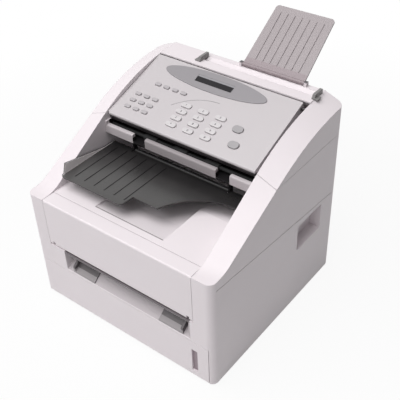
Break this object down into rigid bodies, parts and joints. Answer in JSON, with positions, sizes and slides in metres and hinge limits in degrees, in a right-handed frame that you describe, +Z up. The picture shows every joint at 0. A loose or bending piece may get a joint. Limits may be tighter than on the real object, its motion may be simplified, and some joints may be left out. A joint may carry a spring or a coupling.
{
  "type": "fax machine",
  "caption": "Desktop laser fax machine with a sloped keypad panel between rounded rims, front paper tray, smoked document exit tray and a leaning document support.",
  "frame": {"origin": "bottom centre of the whole machine, document support included, on the desk", "axes": "+X to the right seen from the front, +Y to the rear, +Z up"},
  "size_m": [0.37, 0.4402, 0.4212],
  "materials": {
    "casing": "fine textured",
    "dark_base": "satin",
    "rubber": "matte",
    "panel_grey": "satin",
    "bezel_grey": "satin",
    "key_white": "satin",
    "display_glass": "gloss",
    "smoke": "smoked gloss",
    "support_grey": "satin",
    "guide_dark": "satin",
    "tray_grey": "satin",
    "steel": "satin",
    "engine_black": "satin",
    "board_green": "coated"
  },
  "bodies": {
    "chassis": {"base_pan": "dark_base", "rubber_feet": "rubber", "left_side_cover": "casing", "right_side_cover": "casing", "upper_housing": "casing", "front_panel": "casing", "output_tray": "casing", "scanner_frame": "casing", "scan_sensor": "engine_black", "rear_cover": "casing", "casing_screws": "steel", "power_inlet": "dark_base", "phone_jacks": "dark_base", "switch_frame": "dark_base", "inner_frame": "steel", "drum_cartridge": "engine_black", "laser_unit": "engine_black", "main_board": "board_green", "power_supply": "steel"},
    "paper_tray_body": {"paper_tray": "tray_grey", "tray_front": "casing", "paper_gauge": "guide_dark"},
    "panel_body": {"control_panel": "panel_grey", "display_bezel": "bezel_grey", "display_window": "display_glass", "display_module": "engine_black", "key_board": "board_green"},
    "lift_plate_body": {"lift_plate": "steel"},
    "front_cover_body": {"front_cover": "casing"},
    "rear_door_body": {"rear_door": "casing"},
    "manual_guide_left_body": {"manual_guide_left": "guide_dark"},
    "manual_guide_right_body": {"manual_guide_right": "guide_dark"},
    "pickup_roller_body": {"pickup_roller": "rubber"},
    "heat_roller_body": {"heat_roller": "steel"},
    "pressure_roller_body": {"pressure_roller": "rubber"},
    "print_exit_roller_body": {"print_exit_roller": "rubber"},
    "document_feed_roller_body": {"document_feed_roller": "rubber"},
    "document_exit_roller_body": {"document_exit_roller": "rubber"},
    "document_exit_tray_body": {"document_exit_tray": "smoke"},
    "document_guide_left_body": {"document_guide_left": "casing"},
    "document_guide_right_body": {"document_guide_right": "casing"},
    "document_support_body": {"document_support": "support_grey"},
    "power_switch_body": {"power_switch": "dark_base"},
    "one_touch_keys_body": {"one_touch_keys": "bezel_grey"},
    "function_keys_body": {"function_keys": "bezel_grey"},
    "stop_key_body": {"stop_key": "bezel_grey"},
    "start_key_body": {"start_key": "bezel_grey"},
    "dial_key_1_body": {"dial_key_1": "key_white"},
    "dial_key_2_body": {"dial_key_2": "key_white"},
    "dial_key_3_body": {"dial_key_3": "key_white"},
    "dial_key_4_body": {"dial_key_4": "key_white"},
    "dial_key_5_body": {"dial_key_5": "key_white"},
    "dial_key_6_body": {"dial_key_6": "key_white"},
    "dial_key_7_body": {"dial_key_7": "key_white"},
    "dial_key_8_body": {"dial_key_8": "key_white"},
    "dial_key_9_body": {"dial_key_9": "key_white"},
    "dial_key_star_body": {"dial_key_star": "key_white"},
    "dial_key_0_body": {"dial_key_0": "key_white"},
    "dial_key_hash_body": {"dial_key_hash": "key_white"}
  },
  "joints": [
    {"name": "paper_tray_slide", "type": "slide", "parent": "chassis", "child": "paper_tray_body", "axis": [0, -1, 0], "range_m": [0, 0.3]},
    {"name": "lift_plate_hinge", "type": "hinge", "parent": "paper_tray_body", "child": "lift_plate_body", "pos_m": [0, 0.04135, 0.0147], "axis": [-1, 0, 0], "range_deg": [0, 8]},
    {"name": "front_cover_hinge", "type": "hinge", "parent": "chassis", "child": "front_cover_body", "pos_m": [0, -0.21515, 0.1306], "axis": [1, 0, 0], "range_deg": [0, 90]},
    {"name": "rear_door_hinge", "type": "hinge", "parent": "chassis", "child": "rear_door_body", "pos_m": [0, 0.12485, 0.1016], "axis": [-1, 0, 0], "range_deg": [0, 75]},
    {"name": "manual_guide_left_slide", "type": "slide", "parent": "chassis", "child": "manual_guide_left_body", "axis": [1, 0, 0], "range_m": [0, 0.055]},
    {"name": "manual_guide_right_slide", "type": "slide", "parent": "chassis", "child": "manual_guide_right_body", "axis": [-1, 0, 0], "range_m": [0, 0.055]},
    {"name": "pickup_roller_turn", "type": "hinge", "parent": "chassis", "child": "pickup_roller_body", "pos_m": [0, -0.16015, 0.098], "axis": [1, 0, 0], "continuous": true},
    {"name": "heat_roller_turn", "type": "hinge", "parent": "chassis", "child": "heat_roller_body", "pos_m": [0, 0.06485, 0.122], "axis": [1, 0, 0], "continuous": true},
    {"name": "pressure_roller_turn", "type": "hinge", "parent": "chassis", "child": "pressure_roller_body", "pos_m": [0, 0.06485, 0.0994], "axis": [1, 0, 0], "continuous": true},
    {"name": "print_exit_roller_turn", "type": "hinge", "parent": "chassis", "child": "print_exit_roller_body", "pos_m": [0, 0.06985, 0.206], "axis": [1, 0, 0], "continuous": true},
    {"name": "document_feed_roller_turn", "type": "hinge", "parent": "chassis", "child": "document_feed_roller_body", "pos_m": [0, 0.05185, 0.279], "axis": [1, 0, 0], "continuous": true},
    {"name": "document_exit_roller_turn", "type": "hinge", "parent": "chassis", "child": "document_exit_roller_body", "pos_m": [0, -0.04865, 0.2725], "axis": [1, 0, 0], "continuous": true},
    {"name": "document_exit_tray_hinge", "type": "hinge", "parent": "chassis", "child": "document_exit_tray_body", "pos_m": [0, -0.05255, 0.23975], "axis": [-1, 0, 0], "range_deg": [0, 20]},
    {"name": "document_guide_left_slide", "type": "slide", "parent": "chassis", "child": "document_guide_left_body", "axis": [1, 0, 0], "range_m": [0, 0.03]},
    {"name": "document_guide_right_slide", "type": "slide", "parent": "chassis", "child": "document_guide_right_body", "axis": [-1, 0, 0], "range_m": [0, 0.03]},
    {"name": "document_support_fold", "type": "hinge", "parent": "chassis", "child": "document_support_body", "pos_m": [0.056, 0.12395, 0.3508], "axis": [1, 0, 0], "range_deg": [0, 54]},
    {"name": "control_panel_hinge", "type": "hinge", "parent": "chassis", "child": "panel_body", "pos_m": [0, 0.07784, 0.33578], "axis": [-1, 0, 0], "range_deg": [0, 45]},
    {"name": "power_switch_rocker", "type": "hinge", "parent": "chassis", "child": "power_switch_body", "pos_m": [-0.132, 0.12385, 0.074], "axis": [-1, 0, 0], "range_deg": [0, 10]},
    {"name": "one_touch_keys_press", "type": "slide", "parent": "panel_body", "child": "one_touch_keys_body", "axis": [0, -0.3173, 0.9483], "range_m": [-0.0012, 0], "stiffness_N_per_m": 300},
    {"name": "function_keys_press", "type": "slide", "parent": "panel_body", "child": "function_keys_body", "axis": [0, -0.3173, 0.9483], "range_m": [-0.0012, 0], "stiffness_N_per_m": 300},
    {"name": "stop_key_press", "type": "slide", "parent": "panel_body", "child": "stop_key_body", "axis": [0, -0.3173, 0.9483], "range_m": [-0.0012, 0], "stiffness_N_per_m": 300},
    {"name": "start_key_press", "type": "slide", "parent": "panel_body", "child": "start_key_body", "axis": [0, -0.3173, 0.9483], "range_m": [-0.0012, 0], "stiffness_N_per_m": 300},
    {"name": "dial_key_1_press", "type": "slide", "parent": "panel_body", "child": "dial_key_1_body", "axis": [0, -0.3173, 0.9483], "range_m": [-0.0012, 0], "stiffness_N_per_m": 300},
    {"name": "dial_key_2_press", "type": "slide", "parent": "panel_body", "child": "dial_key_2_body", "axis": [0, -0.3173, 0.9483], "range_m": [-0.0012, 0], "stiffness_N_per_m": 300},
    {"name": "dial_key_3_press", "type": "slide", "parent": "panel_body", "child": "dial_key_3_body", "axis": [0, -0.3173, 0.9483], "range_m": [-0.0012, 0], "stiffness_N_per_m": 300},
    {"name": "dial_key_4_press", "type": "slide", "parent": "panel_body", "child": "dial_key_4_body", "axis": [0, -0.3173, 0.9483], "range_m": [-0.0012, 0], "stiffness_N_per_m": 300},
    {"name": "dial_key_5_press", "type": "slide", "parent": "panel_body", "child": "dial_key_5_body", "axis": [0, -0.3173, 0.9483], "range_m": [-0.0012, 0], "stiffness_N_per_m": 300},
    {"name": "dial_key_6_press", "type": "slide", "parent": "panel_body", "child": "dial_key_6_body", "axis": [0, -0.3173, 0.9483], "range_m": [-0.0012, 0], "stiffness_N_per_m": 300},
    {"name": "dial_key_7_press", "type": "slide", "parent": "panel_body", "child": "dial_key_7_body", "axis": [0, -0.3173, 0.9483], "range_m": [-0.0012, 0], "stiffness_N_per_m": 300},
    {"name": "dial_key_8_press", "type": "slide", "parent": "panel_body", "child": "dial_key_8_body", "axis": [0, -0.3173, 0.9483], "range_m": [-0.0012, 0], "stiffness_N_per_m": 300},
    {"name": "dial_key_9_press", "type": "slide", "parent": "panel_body", "child": "dial_key_9_body", "axis": [0, -0.3173, 0.9483], "range_m": [-0.0012, 0], "stiffness_N_per_m": 300},
    {"name": "dial_key_star_press", "type": "slide", "parent": "panel_body", "child": "dial_key_star_body", "axis": [0, -0.3173, 0.9483], "range_m": [-0.0012, 0], "stiffness_N_per_m": 300},
    {"name": "dial_key_0_press", "type": "slide", "parent": "panel_body", "child": "dial_key_0_body", "axis": [0, -0.3173, 0.9483], "range_m": [-0.0012, 0], "stiffness_N_per_m": 300},
    {"name": "dial_key_hash_press", "type": "slide", "parent": "panel_body", "child": "dial_key_hash_body", "axis": [0, -0.3173, 0.9483], "range_m": [-0.0012, 0], "stiffness_N_per_m": 300}
  ],
  "couplings": [
    {"joint": "manual_guide_right_slide", "follows": "manual_guide_left_slide", "ratio": 1},
    {"joint": "document_guide_right_slide", "follows": "document_guide_left_slide", "ratio": 1},
    {"joint": "pressure_roller_turn", "follows": "heat_roller_turn", "ratio": -1}
  ]
}
